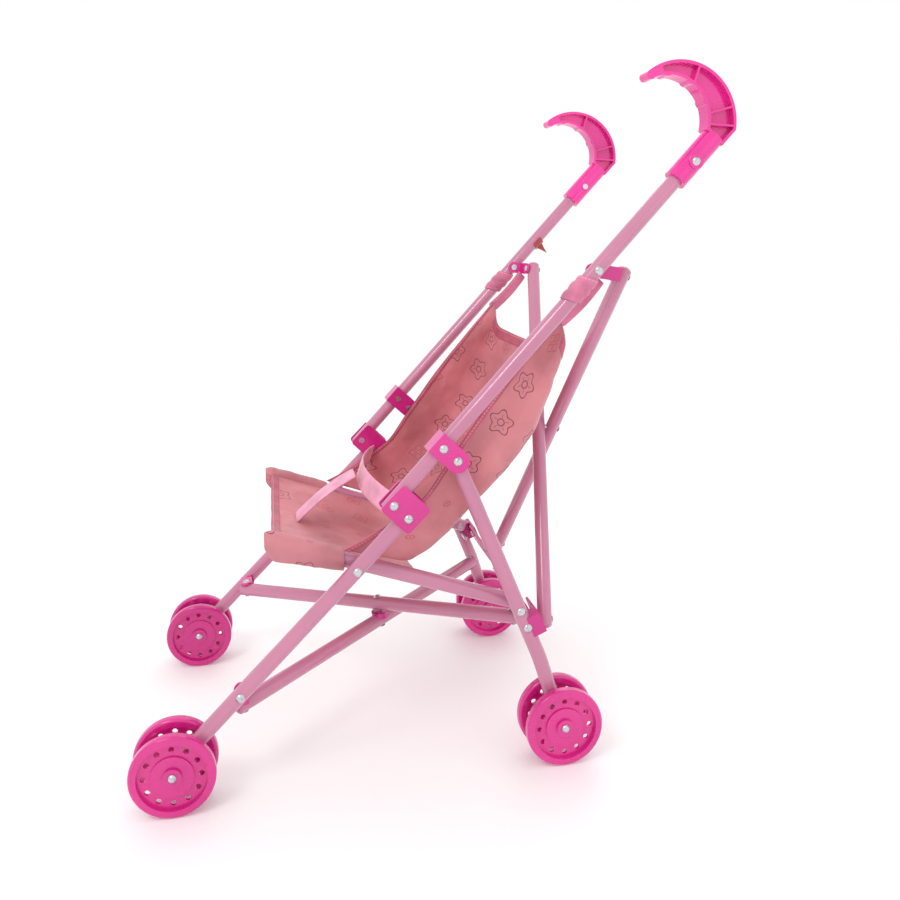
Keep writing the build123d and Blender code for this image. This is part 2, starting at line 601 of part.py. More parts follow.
def back_sling():
    outer = [push_point(*p) for p in SLING_BACK]
    inner = []
    for i, point in enumerate(outer):
        before, after = outer[max(i - 1, 0)], outer[min(i + 1, len(outer) - 1)]
        inner.append(point + behind((after - before).normalized()) * CLOTH)
    width = HALF - SLING_INSET
    rear, front = side_curve(outer), side_curve(inner)
    ends = [Line(rear @ 0, front @ 0), Line(rear @ 1, front @ 1)]
    sheet = make_face([rear, front, *ends])
    body = extrude(Plane.YZ.offset(-width) * sheet, amount=2 * width, dir=(1, 0, 0))
    edge = [outer[-1], *[push_point(*p) for p in SLING_EDGE], outer[0]]
    outline = Polyline(*[(p.Y, p.Z) for p in edge])
    panel = make_face([rear, outline])
    for low in (-width, width - CLOTH):
        body += extrude(Plane.YZ.offset(low) * panel, amount=CLOTH, dir=(1, 0, 0))
    return body


def sagging_strip(start, length, half_width, rise, sag, thickness):
    """A strip across the seat, curved down in the middle, from start along the seat."""
    low = ThreePointArc((-half_width, rise), (0, rise - sag), (half_width, rise))
    high = ThreePointArc((-half_width, rise + thickness), (0, rise - sag + thickness), (half_width, rise + thickness))
    face = make_face([low, high, Line(low @ 0, high @ 0), Line(low @ 1, high @ 1)])
    plane = Plane(origin=start, x_dir=X, z_dir=seat_dir)
    return extrude(plane * face, amount=length, dir=tuple(seat_dir))


def seat_sling():
    start = SEAT_PIVOT - seat_dir * SEAT_BACK
    return sagging_strip(start, SEAT_BACK + SEAT_TUBE_FRONT - 2, SEAT_HALF, SEAT_TOP, SEAT_SAG, CLOTH)


def belt_end():
    return push_point(BELT_ALONG, BELT_BEHIND)


def lap_belt():
    """A band from one side panel to the other, bowed forward in the middle."""
    reach = HALF - SLING_INSET - CLOTH - CLOTH_GAP
    plane = Plane(origin=belt_end(), x_dir=X, z_dir=seat_up)
    rear = ThreePointArc((-reach, 0), (0, -BELT_BOW), (reach, 0))
    front = ThreePointArc((-reach, -CLOTH), (0, -BELT_BOW - CLOTH), (reach, -CLOTH))
    face = make_face([rear, front, Line(rear @ 0, front @ 0), Line(rear @ 1, front @ 1)])
    return extrude(plane * face, amount=BELT_WIDTH, dir=tuple(seat_up))


def crotch_strap():
    """A flat strap from in front of the belt's middle down to the seat."""
    belt_front = belt_end() + seat_dir * (BELT_BOW + CLOTH + CLOTH_GAP)
    top = belt_front + seat_up * CROTCH_UP
    foot = SEAT_PIVOT + seat_dir * CROTCH_FORWARD + seat_up * (SEAT_TOP - SEAT_SAG + CLOTH + CLOTH_GAP)
    thick = seat_dir * CLOTH
    half = CROTCH_WIDTH / 2
    return slab([foot, foot + thick, top + thick, top], -half, half)


def corner_strap(side):
    """A band round the push tube, with a tab that lies beside the sling's side panel."""
    top = push_point(TOP_BRACKET_ON_PUSH - STRAP_BELOW_TOP, 0) + X * side * HALF
    foot = top - push_dir * STRAP_LENGTH
    band = rod(foot, top, TUBE_R + HINGE_GAP + CLOTH)
    tab = corners(push_point(SLING_BACK[0][0], 0), push_dir, -STRAP_TAB, 0, behind(push_dir), 0, STRAP_TAB_BEHIND)
    low, high = sorted((side * (HALF - SLING_INSET + HINGE_GAP), side * (HALF - TUBE_R)))
    band += slab(tab, low, high)
    return band - rod(foot - push_dir, top + push_dir, TUBE_R + HINGE_GAP)


def red_clip():
    """A half ring on the rear of the right push tube with a small pointed tab."""
    foot = push_point(CLIP_ON_PUSH - CLIP_LENGTH / 2, 0) - X * HALF
    top = foot + push_dir * CLIP_LENGTH
    saddle = rod(foot, top, TUBE_R + PLATE_GAP + CLIP_WALL)
    reach = CLIP_TAB_WIDTH / 2
    outline = ((-reach, 0.0), (0.4 * -reach, 0.5), (0.0, 1.0), (0.4 * reach, 0.5), (reach, 0.0))
    tab = [push_point(CLIP_ON_PUSH + along, TUBE_R + PLATE_GAP + CLIP_TAB * out) for along, out in outline]
    saddle += slab(tab, -HALF - CLIP_TAB_THICKNESS / 2, -HALF + CLIP_TAB_THICKNESS / 2)
    front = corners(push_point(CLIP_ON_PUSH, 0), push_dir, -CLIP_LENGTH, CLIP_LENGTH, behind(push_dir), -TUBE_D, 0)
    saddle -= slab(front, -HALF - TUBE_D, -HALF + TUBE_D)
    return saddle - rod(foot - push_dir, top + push_dir, TUBE_R + PLATE_GAP)


# ---- the whole stroller ----
pair("push_tube", push_tube)
pair("handle", handle)
pair("pivot_bracket", pivot_bracket)
pair("push_rivets", push_rivets)
pair("front_leg", front_leg)
pair("knee_bracket", knee_bracket)
pair("front_rivets", front_rivets)
pair("front_axle", axle, FRONT_AXLE)
pair("rear_leg", rear_leg)
pair("rear_mount", rear_mount)
pair("rear_rivets", rear_rivets)
pair("rear_axle", axle, REAR_AXLE)
pair("seat_tube", seat_tube)
pair("seat_rivet", seat_rivet)
pair("brace_arm", brace_arm)
nodes["brace_rivet"] = brace_middle_rivet()

back_cross = (TOP_PIN, BACK_FOOT, BACK_CROSS_GAP, -1)
bottom_cross = (FRONT_PIN, BOTTOM_REAR, BOTTOM_CROSS_GAP, 1)
pair("top_bracket", cross_bracket, TOP_BRACKET, *back_cross)
pair("front_bracket", cross_bracket, FRONT_BRACKET, *bottom_cross)
pair("back_cross_tube", cross_tube, *back_cross, CROSS_INSET)
pair("back_cross_rivets", cross_rivets, TOP_BRACKET, *back_cross, CROSS_INSET)
pair("bottom_cross_tube", cross_tube, *bottom_cross, CROSS_REAR_INSET)
pair("bottom_cross_rivets", cross_rivets, FRONT_BRACKET, *bottom_cross, CROSS_REAR_INSET)
nodes["bottom_cross_spacer"] = cross_spacer(1, *bottom_cross, CROSS_REAR_INSET)

for end, centre in (("front", FRONT_AXLE), ("rear", REAR_AXLE)):
    for where, place in (("outer", 1), ("inner", -1)):
        pair(f"wheel_{end}_{where}", wheel, place, centre)

nodes["back_sling"] = back_sling()
nodes["seat_sling"] = seat_sling()
nodes["lap_belt"] = lap_belt()
nodes["crotch_strap"] = crotch_strap()
pair("corner_strap", corner_strap)
nodes["red_clip"] = red_clip()

os.makedirs("parts", exist_ok=True)
for name, shape in nodes.items():
    export_step(Pos(0, -Y_MIDDLE, 0) * shape, f"parts/{name}.step")
print(len(nodes), "nodes")
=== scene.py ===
"""Looks for the folding doll stroller: cloth, harness, materials, light and camera.

Units are metres in the row frame: +Z up, the front faces -Y, the stroller's own left is +X.
Side-plane points are written as (y, z) in millimetres from the floor under the front axle.
"""

import json
import math

import bpy
import numpy as np
from mathutils import Matrix, Vector
from mathutils import noise as mnoise


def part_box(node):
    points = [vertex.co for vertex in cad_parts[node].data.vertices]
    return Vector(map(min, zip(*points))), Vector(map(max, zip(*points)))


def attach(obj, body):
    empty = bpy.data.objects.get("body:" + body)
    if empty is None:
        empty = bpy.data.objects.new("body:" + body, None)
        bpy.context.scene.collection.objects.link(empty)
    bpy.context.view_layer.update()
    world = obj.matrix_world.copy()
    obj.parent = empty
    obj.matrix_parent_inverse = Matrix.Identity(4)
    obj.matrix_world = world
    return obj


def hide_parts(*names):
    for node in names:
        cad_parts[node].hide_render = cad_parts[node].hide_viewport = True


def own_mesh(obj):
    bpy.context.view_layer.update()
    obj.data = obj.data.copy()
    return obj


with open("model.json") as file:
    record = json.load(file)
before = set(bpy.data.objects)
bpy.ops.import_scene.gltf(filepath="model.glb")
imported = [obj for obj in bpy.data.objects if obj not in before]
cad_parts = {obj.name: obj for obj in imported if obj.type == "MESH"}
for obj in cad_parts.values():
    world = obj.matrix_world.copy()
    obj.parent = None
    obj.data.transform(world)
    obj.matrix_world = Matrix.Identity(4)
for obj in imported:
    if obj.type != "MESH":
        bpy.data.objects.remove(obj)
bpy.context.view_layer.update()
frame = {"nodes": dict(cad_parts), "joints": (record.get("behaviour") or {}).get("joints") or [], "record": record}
joints = {j["name"]: j for j in frame["joints"]}


def pivot(name):
    return np.array(joints[name]["pos_m"], float)


def middle(node):
    low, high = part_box(node)
    return np.array((low + high) / 2)


AXLE_Y = float(middle("wheel_front_outer_left")[1])
HALF = float(pivot("front_fold_left")[0])
KNEE = pivot("front_fold_left")
TOP = pivot("top_turn_left")
SEAT = pivot("seat_fold_left")
UP_PUSH = (TOP - KNEE) / np.linalg.norm(TOP - KNEE)
BEHIND_PUSH = np.array((0.0, UP_PUSH[2], -UP_PUSH[1]))
TUBE_R = 0.006


def side_point(y, z, x=0.0):
    return np.array((x, y / 1000 + AXLE_Y, z / 1000))


def on_push(along, behind, x=0.0):
    """A point in millimetres along the push tube from the knee and behind it."""
    p = KNEE + UP_PUSH * along / 1000 + BEHIND_PUSH * behind / 1000
    return np.array((x, p[1], p[2]))


# ---- colours and materials ----
def srgb(r, g, b):
    out = []
    for c in (r, g, b):
        c = c / 255
        out.append(c / 12.92 if c <= 0.04045 else ((c + 0.055) / 1.055) ** 2.4)
    return (*out, 1.0)


class Graph:
    """Short names for building a material's node tree."""

    def __init__(self, name):
        self.material = bpy.data.materials.new(name)
        self.material.use_nodes = True
        self.nodes = self.material.node_tree.nodes
        self.links = self.material.node_tree.links
        self.shader = self.nodes["Principled BSDF"]

    def node(self, kind, inputs=(), **settings):
        n = self.nodes.new(kind)
        for key, value in settings.items():
            setattr(n, key, value)
        for key, value in dict(inputs).items():
            self.put(n, key, value)
        return n

    def put(self, n, key, value):
        if isinstance(value, bpy.types.NodeSocket):
            self.links.new(value, n.inputs[key])
        else:
            n.inputs[key].default_value = value

    def set(self, key, value):
        self.put(self.shader, key, value)

    def math(self, operation, a, b=0.0, c=0.0, clamp=False):
        n = self.node("ShaderNodeMath", {0: a, 1: b, 2: c}, operation=operation, use_clamp=clamp)
        return n.outputs[0]

    def mix(self, share, a, b, blend="MIX"):
        n = self.node("ShaderNodeMix", data_type="RGBA", blend_type=blend)
        self.put(n, 0, share)
        self.put(n, 6, a)
        self.put(n, 7, b)
        return n.outputs[2]

    def noise(self, vector, scale, detail=2.0, rough=0.5):
        n = self.node("ShaderNodeTexNoise", {"Scale": scale, "Detail": detail, "Roughness": rough})
        if vector is not None:
            self.put(n, "Vector", vector)
        return n.outputs["Fac"]

    def ramp(self, value, low, high, to_low=0.0, to_high=1.0, smooth=True):
        kind = "SMOOTHSTEP" if smooth else "LINEAR"
        ends = {0: value, 1: low, 2: high, 3: to_low, 4: to_high}
        n = self.node("ShaderNodeMapRange", ends, interpolation_type=kind)
        return n.outputs[0]

    def bump(self, height, strength, distance, below=None):
        inputs = {"Height": height, "Strength": strength, "Distance": distance}
        n = self.node("ShaderNodeBump", inputs)
        if below is not None:
            self.put(n, "Normal", below)
        return n.outputs["Normal"]

    def position(self):
        return self.node("ShaderNodeTexCoord").outputs["Object"]

    def uv(self):
        return self.node("ShaderNodeTexCoord").outputs["UV"]


def plastic(name, colour, rough, grain=0.08, sheer=0.05):
    """Moulded plastic: slow flow marks in its gloss, fine grain and paler rubbed patches."""
    g = Graph(name)
    where = g.position()
    flow = g.noise(where, 38.0, 3.0)
    patch = g.noise(where, 9.0, 2.0)
    pale = tuple(min(1.0, c * 1.12 + 0.012) for c in colour[:3]) + (1.0,)
    deep = tuple(c * 0.90 for c in colour[:3]) + (1.0,)
    tone = g.mix(g.ramp(patch, 0.35, 0.65), deep, pale)
    speck = g.ramp(g.noise(where, 900.0, 1.0), 0.66, 0.78)
    g.set("Base Color", g.mix(g.math("MULTIPLY", speck, 0.04), tone, (1.0, 0.75, 0.88, 1.0)))
    g.set("Roughness", g.ramp(flow, 0.3, 0.7, rough - 0.05, rough + 0.09))
    g.set("Coat Weight", 0.6)
    g.set("Coat Roughness", 0.12)
    g.set("Subsurface Weight", sheer)
    g.set("Subsurface Radius", (0.004, 0.0012, 0.002))
    g.set("Subsurface Scale", 1.0)
    fine = g.bump(g.noise(where, 1500.0, 2.0), grain, 0.0002)
    g.set("Normal", g.bump(flow, 0.12, 0.0006, fine))
    return g.material


def paint(name, colour):
    """Gloss stove paint on tube: slight orange peel, faint drawn streaks and small chips."""
    g = Graph(name)
    where = g.position()
    broad = g.noise(where, 14.0, 3.0)
    pale = tuple(min(1.0, c * 1.05) for c in colour[:3]) + (1.0,)
    deep = tuple(c * 0.95 for c in colour[:3]) + (1.0,)
    tone = g.mix(g.ramp(broad, 0.3, 0.7), deep, pale)
    scuff = g.math("MULTIPLY", g.ramp(g.noise(where, 120.0, 6.0, 0.75), 0.66, 0.72), 0.08)
    g.set("Base Color", g.mix(scuff, tone, srgb(238, 205, 218)))
    g.set("Roughness", g.ramp(g.noise(where, 60.0, 3.0), 0.3, 0.7, 0.16, 0.24))
    g.set("Coat Weight", 0.7)
    g.set("Coat Roughness", 0.09)
    g.set("IOR", 1.5)
    g.set("Normal", g.bump(g.noise(where, 420.0, 2.0), 0.04, 0.0002))
    return g.material


def steel(name):
    """Bright rivet steel: fine turned scratches, dull specks."""
    g = Graph(name)
    where = g.position()
    g.set("Metallic", 1.0)
    spots = g.ramp(g.noise(where, 320.0, 4.0, 0.7), 0.52, 0.7)
    g.set("Base Color", g.mix(spots, srgb(205, 206, 210), srgb(150, 148, 150)))
    g.set("Roughness", g.ramp(g.noise(where, 200.0, 4.0), 0.3, 0.7, 0.16, 0.36))
    g.set("Normal", g.bump(g.noise(where, 900.0, 3.0), 0.16, 0.0002))
    return g.material


def weave(g, flat, pitch):
    """Height of a plain weave, threads every pitch metres in both directions of the sheet."""
    parts = g.node("ShaderNodeSeparateXYZ", {0: flat})
    turns = 2 * math.pi / pitch
    across = g.math("SINE", g.math("MULTIPLY", parts.outputs[0], turns))
    along = g.math("SINE", g.math("MULTIPLY", parts.outputs[1], turns))
    return g.math("MULTIPLY_ADD", g.math("MULTIPLY", across, along), 0.5, 0.5)


def outline(g, distance, width):
    """1 on a drawn line where distance is near zero."""
    return g.ramp(g.math("ABSOLUTE", distance), width * 0.55, width, 1.0, 0.0)


def motifs(g, flat, cell):
    """Line-drawn flowers, blocks and rings, one to a cell, turned and shifted at random."""

    def vector(operation, inputs):
        return g.node("ShaderNodeVectorMath", inputs, operation=operation).outputs[0]

    scaled = vector("SCALE", {0: flat, "Scale": 1 / cell})
    corner = vector("FLOOR", {0: scaled})
    inside = vector("SUBTRACT", {0: scaled, 1: corner})
    chance = g.node("ShaderNodeTexWhiteNoise", {"Vector": corner}, noise_dimensions="3D")
    picks = g.node("ShaderNodeSeparateXYZ", {0: chance.outputs["Color"]})
    shift = vector("SCALE", {0: chance.outputs["Color"], "Scale": 0.26})
    centred = vector("SUBTRACT", {0: inside, 1: shift})
    centred = vector("SUBTRACT", {0: centred, 1: (0.37, 0.37, 0.0)})
    spin = g.math("MULTIPLY", picks.outputs[1], 2 * math.pi)
    about = {"Vector": centred, "Angle": spin}
    turned = g.node("ShaderNodeVectorRotate", about, rotation_type="Z_AXIS")
    axes = g.node("ShaderNodeSeparateXYZ", {0: turned.outputs[0]})
    x, y = axes.outputs[0], axes.outputs[1]
    radius = g.math("SQRT", g.math("ADD", g.math("MULTIPLY", x, x), g.math("MULTIPLY", y, y)))
    angle = g.math("ARCTAN2", y, x)
    line = 0.016
    petals = g.math("MULTIPLY_ADD", g.math("COSINE", g.math("MULTIPLY", angle, 5.0)), 0.045, 0.235)
    flower = outline(g, g.math("SUBTRACT", radius, petals), line)
    heart = outline(g, g.math("SUBTRACT", radius, 0.075), line * 0.9)
    spoke = g.math("ABSOLUTE", g.math("SINE", g.math("MULTIPLY", angle, 2.5)))
    spokes = g.math("MULTIPLY", g.ramp(spoke, 0.06, 0.13, 1.0, 0.0), g.ramp(radius, 0.095, 0.10))
    spokes = g.math("MULTIPLY", spokes, g.ramp(radius, 0.17, 0.18, 1.0, 0.0))
    bloom = g.math("MAXIMUM", g.math("MAXIMUM", flower, heart), spokes)
    folded_x = g.math("SUBTRACT", g.math("ABSOLUTE", x), 0.10)
    folded_y = g.math("SUBTRACT", g.math("ABSOLUTE", y), 0.10)
    square = g.math("MAXIMUM", g.math("ABSOLUTE", folded_x), g.math("ABSOLUTE", folded_y))
    blocks = outline(g, g.math("SUBTRACT", square, 0.072), line * 0.8)
    rings = outline(g, g.math("SUBTRACT", radius, 0.065), line * 0.8)
    dot = g.ramp(radius, 0.016, 0.024, 1.0, 0.0)
    rings = g.math("MAXIMUM", rings, dot)
    kind = picks.outputs[0]
    is_bloom = g.math("LESS_THAN", kind, 0.46)
    is_ring = g.math("GREATER_THAN", kind, 0.72)
    is_block = g.math("SUBTRACT", g.math("SUBTRACT", 1.0, is_bloom), is_ring)
    dark = g.math("MULTIPLY", bloom, is_bloom)
    light = g.math("ADD", g.math("MULTIPLY", blocks, is_block), g.math("MULTIPLY", rings, is_ring))
    return dark, light


def cloth_material(name, colour, printed=True, rough=0.62, sheen=0.25):
    """Thin woven nylon; printed cloth carries line drawings on the sheet's own flat pattern."""
    g = Graph(name)
    flat = g.uv()
    where = g.position()
    deep = tuple(c * 0.82 for c in colour[:3]) + (1.0,)
    pale = tuple(min(1.0, c * 1.12 + 0.01) for c in colour[:3]) + (1.0,)
    tone = g.mix(g.ramp(g.noise(where, 22.0, 4.0), 0.3, 0.7), deep, pale)
    thread = weave(g, flat, 0.0007)
    tone = g.mix(g.math("MULTIPLY", thread, 0.16), tone, deep)
    if printed:
        dark, light = motifs(g, flat, 0.036)
        worn = g.ramp(g.noise(flat, 900.0, 3.0), 0.25, 0.55, 0.55, 1.0)
        inks = (dark, 0.95, srgb(96, 40, 58)), (light, 0.85, srgb(178, 62, 84))
        for drawn, strength, ink in inks:
            share = g.math("MULTIPLY", g.math("MULTIPLY", drawn, worn), strength)
            tone = g.mix(share, tone, ink)
    g.set("Base Color", tone)
    g.set("Roughness", g.ramp(g.noise(where, 80.0, 3.0), 0.3, 0.7, rough - 0.08, rough + 0.10))
    g.set("Sheen Weight", sheen)
    g.set("Sheen Roughness", 0.4)
    g.set("Subsurface Weight", 0.18)
    g.set("Subsurface Radius", (0.006, 0.003, 0.003))
    g.set("Subsurface Scale", 1.0)
    crumple = g.bump(g.noise(where, 95.0, 5.0, 0.6), 0.28, 0.0012)
    g.set("Normal", g.bump(thread, 0.35, 0.00012, crumple))
    return g.material


def binding_material(name, colour, stitches=True):
    """Folded tape along an edge: ribbed across, with a line of stitches along it."""
    g = Graph(name)
    flat = g.uv()
    where = g.position()
    deep = tuple(c * 0.80 for c in colour[:3]) + (1.0,)
    pale = tuple(min(1.0, c * 1.12 + 0.01) for c in colour[:3]) + (1.0,)
    tone = g.mix(g.ramp(g.noise(where, 60.0, 4.0), 0.3, 0.7), deep, pale)
    parts = g.node("ShaderNodeSeparateXYZ", {0: flat})
    along, across = parts.outputs[0], parts.outputs[1]
    rib_wave = g.math("SINE", g.math("MULTIPLY", along, 2 * math.pi / 0.0009))
    ribs = g.math("MULTIPLY_ADD", rib_wave, 0.5, 0.5)
    height = ribs
    if stitches:
        step = g.math("FRACT", g.math("MULTIPLY", along, 1 / 0.0028))
        dash = g.math("MULTIPLY", g.ramp(step, 0.12, 0.2), g.ramp(step, 0.72, 0.8, 1.0, 0.0))
        from_row = g.math("ABSOLUTE", g.math("SUBTRACT", across, 0.0018))
        row = g.ramp(from_row, 0.00022, 0.00045, 1.0, 0.0)
        seam = g.math("MULTIPLY", dash, row)
        tone = g.mix(g.math("MULTIPLY", seam, 0.7), tone, srgb(240, 178, 192))
        height = g.math("ADD", g.math("MULTIPLY", ribs, 0.35), seam)
    g.set("Base Color", tone)
    g.set("Roughness", 0.62)
    g.set("Sheen Weight", 0.25)
    g.set("Sheen Roughness", 0.4)
    crumple = g.bump(g.noise(where, 150.0, 4.0), 0.3, 0.0008)
    g.set("Normal", g.bump(height, 0.4, 0.0002, crumple))
    return g.material


PAINT = paint("tube_paint", srgb(196, 122, 152))
HOT_PINK = plastic("bracket_pink", srgb(206, 16, 132), 0.26)
# painted light: the handle's pink is a paler, lit copy of the pink on the brackets and wheels, standing in for the
# stronger light on the handle
HANDLE_PINK_PAINTED_LIT = plastic("handle_pink_painted_lit", srgb(224, 22, 144), 0.22)
WHEEL_PINK = plastic("wheel_pink", srgb(208, 14, 130), 0.24, sheer=0.08)
RED = plastic("clip_red", srgb(158, 22, 26), 0.35)
STEEL = steel("rivet_steel")
CLOTH = cloth_material("printed_nylon", srgb(200, 122, 130))
TAPE = binding_material("edge_tape", srgb(186, 84, 106))
STRAP = binding_material("strap_tape", srgb(208, 114, 148))
WEB = binding_material("harness_web", srgb(238, 162, 190))

node_materials = {
    "tube_paint": PAINT,
    "bracket_plastic": HOT_PINK,
    "handle_plastic": HANDLE_PINK_PAINTED_LIT,
    "wheel_plastic": WHEEL_PINK,
    "rivet_steel": STEEL,
    "printed_cloth": CLOTH,
    "harness_web": WEB,
    "red_plastic": RED,
}
for part in frame["record"]["subparts"]:
    slots = frame["nodes"][part["node"]].material_slots
    for s in slots:
        s.material = node_materials[part["material_slot"]]


# ---- sheets of cloth ----
CLOTH_THICKNESS = 0.0009
HEM_THICKNESS = 0.0021


def smooth(points, count):
    """count points along a Catmull-Rom curve through points, evenly spaced by length."""
    p = np.array(points, float)
    ends = np.vstack([2 * p[0] - p[1], p, 2 * p[-1] - p[-2]])
    fine = []
    for i in range(1, len(ends) - 2):
        a, b, c, d = ends[i - 1 : i + 3]
        for t in np.linspace(0, 1, 12, endpoint=False):
            curved = (2 * a - 5 * b + 4 * c - d) * t**2 + (3 * b - a - 3 * c + d) * t**3
            fine.append(0.5 * (2 * b + (c - a) * t + curved))
    fine.append(p[-1])
    fine = np.array(fine)
    run = np.concatenate([[0], np.cumsum(np.linalg.norm(np.diff(fine, axis=0), axis=1))])
    want = np.linspace(0, run[-1], count)
    return np.stack([np.interp(want, run, fine[:, k]) for k in range(p.shape[1])], axis=1)


def grid_mesh(name, grid, material, uv_offset=(0.0, 0.0), closed=False):
    """A mesh from rows of points; its UV map is the flat sheet in metres."""
    grid = np.array(grid, float)
    rows, columns = grid.shape[:2]
    mesh = bpy.data.meshes.new(name)
    faces = []
    wide = columns if closed else columns - 1
    for i in range(rows - 1):
        for j in range(wide):
            k = (j + 1) % columns
            this, after = i * columns, (i + 1) * columns
            faces.append((this + j, this + k, after + k, after + j))
    mesh.from_pydata(grid.reshape(-1, 3).tolist(), [], faces)
    steps_across = np.linalg.norm(np.diff(grid, axis=1), axis=2).mean(0)
    steps_along = np.linalg.norm(np.diff(grid, axis=0), axis=2).mean(1)
    across = np.concatenate([[0], np.cumsum(steps_across)])
    along = np.concatenate([[0], np.cumsum(steps_along)])
    if closed:
        last = np.linalg.norm(grid[:, -1] - grid[:, 0], axis=1).mean()
        across = np.append(across, across[-1] + last)
    layer = mesh.uv_layers.new(name="flat")
    position = 0
    for i in range(rows - 1):
        for j in range(wide):
            for a, b in ((i, j), (i, j + 1), (i + 1, j + 1), (i + 1, j)):
                layer.data[position].uv = (across[b] + uv_offset[0], along[a] + uv_offset[1])
                position += 1
    mesh.materials.append(material)
    for polygon in mesh.polygons:
        polygon.use_smooth = True
    piece = bpy.data.objects.new(name, mesh)
    bpy.context.scene.collection.objects.link(piece)
    return piece


def finished(piece):
    """Applies the piece's modifiers, so that its mesh is final."""
    bpy.context.view_layer.update()
    graph = bpy.context.evaluated_depsgraph_get()
    baked = bpy.data.meshes.new_from_object(piece.evaluated_get(graph))
    piece.modifiers.clear()
    piece.data = baked
    for polygon in baked.polygons:
        polygon.use_smooth = True
    return piece


def thicken(piece, thickness, levels=1):
    solid = piece.modifiers.new("thickness", "SOLIDIFY")
    solid.thickness = thickness
    solid.offset = 0.0
    if levels:
        fine = piece.modifiers.new("fine", "SUBSURF")
        fine.levels = fine.render_levels = levels
    return finished(piece)


# ---- the sling: side panels and back in one bag-like sheet ----
# Stations from the top hem down to the seat: the side panel's free edge, and the sheet's rear or
# lower corner, both as (y, z).
STATIONS = (
    ((307.5, 361.0), (311.0, 334.0)),
    ((291.0, 343.0), (309.0, 323.0)),
    ((273.0, 322.5), (305.5, 310.0)),
    ((255.0, 301.5), (300.0, 296.0)),
    ((240.0, 283.0), (294.5, 283.0)),
    ((226.0, 264.0), (288.5, 267.0)),
    ((211.0, 243.5), (280.5, 253.5)),
    ((195.6, 222.0), (267.5, 239.0)),
    ((179.0, 209.5), (252.0, 222.5)),
    ((163.5, 199.0), (236.5, 205.5)),
    ((150.0, 191.5), (220.0, 187.0)),
    ((139.0, 186.0), (205.5, 174.0)),
    ((130.0, 182.0), (189.0, 163.0)),
)
PANEL_X = 0.0965
ROWS, PANEL, TURN, BACK = 72, 18, 8, 40


tube_low, tube_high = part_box("seat_tube_left")
SEAT_SLOPE = -(tube_high.z - tube_low.z - 2 * TUBE_R) / (tube_high.y - tube_low.y - 2 * TUBE_R)
SEAT_X = (tube_low.x + tube_high.x) / 2


def seat_line(y):
    """Height of the seat tube's axis at y, both in metres in the row frame."""
    return SEAT[2] + (y - SEAT[1]) * SEAT_SLOPE


def sling_rows():
    edges = smooth([e for e, _ in STATIONS], ROWS)
    corners = smooth([c for _, c in STATIONS], ROWS)
    rows = []
    for i in range(ROWS):
        share = i / (ROWS - 1)
        e, c = edges[i], corners[i]
        before, after = corners[max(i - 1, 0)], corners[min(i + 1, ROWS - 1)]
        run = (after - before) / np.linalg.norm(after - before)
        out = np.array((-run[1], run[0]))
        if out[0] < 0:
            out = -out
        low_x = PANEL_X - 0.0095 * max(0.0, (share - 0.62) / 0.38) ** 1.2
        bulge = 0.006 + 0.010 * math.sin(math.pi * min(1.0, share * 1.15))
        if share < 0.12:
            bulge += 0.002
        panel = math.hypot(*(c - e)) / 1000
        radius = min(0.020, 0.45 * panel)
        edge = side_point(*e, PANEL_X)
        corner = side_point(*c, low_x)
        down = (corner - edge) / np.linalg.norm(corner - edge)
        outward = np.array((0.0, out[0], out[1]))
        start = corner - down * radius
        finish = corner + outward * bulge * 0.22 - np.array((radius, 0.0, 0.0))
        half = []
        for t in np.linspace(0, 1, PANEL, endpoint=False):
            bow = 0.0016 * math.sin(math.pi * t) * (1 - share)
            half.append(edge + (start - edge) * t - np.array((bow, 0, 0)))
        for t in np.linspace(0, 1, TURN, endpoint=False):
            half.append(start * (1 - t) ** 2 + corner * 2 * t * (1 - t) + finish * t**2)
        across = []
        for t in np.linspace(0, 1, BACK):
            x = finish[0] * (1 - 2 * t)
            rise = bulge * (0.22 + 0.78 * (1 - (x / finish[0]) ** 2))
            across.append(np.array((x, corner[1], corner[2])) + outward * rise)
        mirror = [p * np.array((-1, 1, 1)) for p in reversed(half)]
        rows.append(half + across + mirror)
    return np.array(rows)


sling_grid = sling_rows()
# the hem of the back sags between its two upper corners
for j in range(sling_grid.shape[1]):
    x = sling_grid[0, j, 0]
    dip = max(0.0, 1 - (x / 0.088) ** 2)
    for i in range(14):
        fade = (1 - i / 14) ** 2
        sling_grid[i, j, 2] -= 0.005 * dip * fade


def normals(grid):
    du = np.gradient(grid, axis=1)
    dv = np.gradient(grid, axis=0)
    n = np.cross(du, dv)
    return n / np.maximum(np.linalg.norm(n, axis=2, keepdims=True), 1e-12)


def fade_in(count, reach):
    """From 0 at both ends to 1, reach steps in."""
    steps = np.arange(count)
    return np.minimum(1, np.minimum(steps, count - 1 - steps) / reach)


def wrinkled(grid, amount, scale, seed, pins):
    """Moves a grid along its normals by ridged noise, less where pins is near zero."""
    n = normals(grid)
    out = grid.copy()
    for i in range(grid.shape[0]):
        for j in range(grid.shape[1]):
            p = Vector(grid[i, j] * scale) + Vector((seed, 0, 0))
            h = mnoise.fractal(p, 0.9, 2.0, 3) * 0.6 + (0.5 - abs(mnoise.noise(p * 1.7))) * 0.5
            out[i, j] += n[i, j] * amount * h * pins[i, j]
    return out


side_fade = fade_in(sling_grid.shape[1], 8)
row_fade = fade_in(ROWS, 6)
pins = np.outer(0.25 + 0.75 * row_fade, 0.15 + 0.85 * side_fade)
sling_grid = wrinkled(sling_grid, 0.0032, 26.0, 3.0, pins)


def hem_from_grid(name, grid, reach, thickness, material):
    """Tape that covers the first rows of a grid, both faces of it."""
    piece = grid_mesh(name, grid[: reach + 1], material)
    return thicken(piece, thickness, 1)


